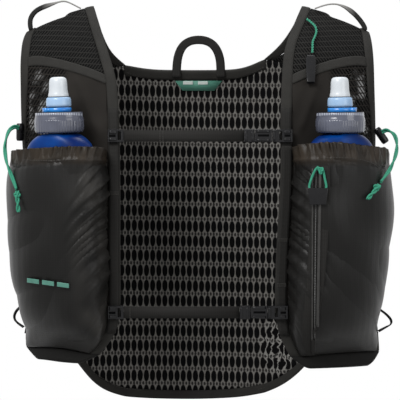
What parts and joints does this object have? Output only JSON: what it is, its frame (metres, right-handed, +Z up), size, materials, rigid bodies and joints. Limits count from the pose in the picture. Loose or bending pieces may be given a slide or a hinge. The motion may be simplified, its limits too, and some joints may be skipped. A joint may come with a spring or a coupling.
{
  "type": "running hydration vest",
  "caption": "Running hydration vest with a padded mesh back, mesh yokes, gathered front pockets that hold soft flasks, sternum straps and elastic cords.",
  "frame": {"origin": "seat on the shoulders: midway between them, at the height of the strap ridge", "axes": "+Z up, +Y to the wearer's back, +X to the wearer's left"},
  "size_m": [0.4022, 0.2564, 0.4264],
  "materials": {
    "spacer_mesh": "open knitted spacer mesh, matt",
    "shell_nylon": "thin coated nylon, slight sheen",
    "stretch_mesh": "fine stretch net, matt",
    "binding_tape": "folded woven tape, matt",
    "webbing": "ribbed polyester webbing, matt",
    "black_plastic": "moulded acetal, fine grain",
    "flask_film": "soft blue film, glossy, see-through",
    "cap_plastic": "grey see-through plastic, ribbed",
    "valve_silicone": "clear silicone",
    "lever_plastic": "clear blue plastic",
    "green_cord": "twisted two-strand cord",
    "green_label": "woven label"
  },
  "bodies": {
    "vest": {"back_panel": "spacer_mesh", "neck_binding": "binding_tape", "hem_binding": "binding_tape", "left_back_edge_binding": "binding_tape", "right_back_edge_binding": "binding_tape", "left_yoke": "stretch_mesh", "left_chest_band": "binding_tape", "left_front_panel": "shell_nylon", "left_neck_edge_binding": "binding_tape", "left_armhole_binding": "binding_tape", "left_foot_band": "shell_nylon", "right_yoke": "stretch_mesh", "right_chest_band": "binding_tape", "right_front_panel": "shell_nylon", "right_neck_edge_binding": "binding_tape", "right_armhole_binding": "binding_tape", "right_foot_band": "shell_nylon", "left_flask_body": "flask_film", "left_flask_cap": "cap_plastic", "left_valve_base": "lever_plastic", "left_bite_valve": "valve_silicone", "right_flask_body": "flask_film", "right_flask_cap": "cap_plastic", "right_valve_base": "lever_plastic", "right_bite_valve": "valve_silicone", "left_pocket": "shell_nylon", "right_pocket": "shell_nylon", "left_side_panel": "stretch_mesh", "right_side_panel": "stretch_mesh", "left_rail": "webbing", "right_rail": "webbing", "upper_left_hook": "black_plastic", "upper_right_hook": "black_plastic", "upper_buckle": "black_plastic", "upper_ladder_lock": "black_plastic", "upper_strap": "webbing", "lower_left_hook": "black_plastic", "lower_right_hook": "black_plastic", "lower_buckle": "black_plastic", "lower_ladder_lock": "black_plastic", "lower_strap": "webbing", "hang_loop": "webbing", "neck_label": "green_label", "left_shoulder_loop": "binding_tape", "left_side_loop": "binding_tape", "right_shoulder_loop": "binding_tape", "right_side_loop": "binding_tape", "left_drawcord": "green_cord", "left_drawcord_knot": "green_cord", "left_cord_lock": "black_plastic", "right_drawcord": "green_cord", "right_drawcord_knot": "green_cord", "right_cord_lock": "black_plastic", "zip_tape": "webbing", "zip_cord": "green_cord", "zip_pull": "black_plastic", "whistle_cord": "green_cord", "whistle": "black_plastic"},
    "left_lever": {"left_lock_lever": "lever_plastic"},
    "right_lever": {"right_lock_lever": "lever_plastic"}
  },
  "joints": [
    {"name": "left_valve_lock", "type": "hinge", "parent": "vest", "child": "left_lever", "pos_m": [-0.1383, -0.12288, -0.09963], "axis": [-0.0262, -0.0523, 0.9983], "range_deg": [0, 90]},
    {"name": "right_valve_lock", "type": "hinge", "parent": "vest", "child": "right_lever", "pos_m": [0.14068, -0.12021, -0.09954], "axis": [-0.0174, -0.0523, 0.9985], "range_deg": [0, 90]}
  ]
}
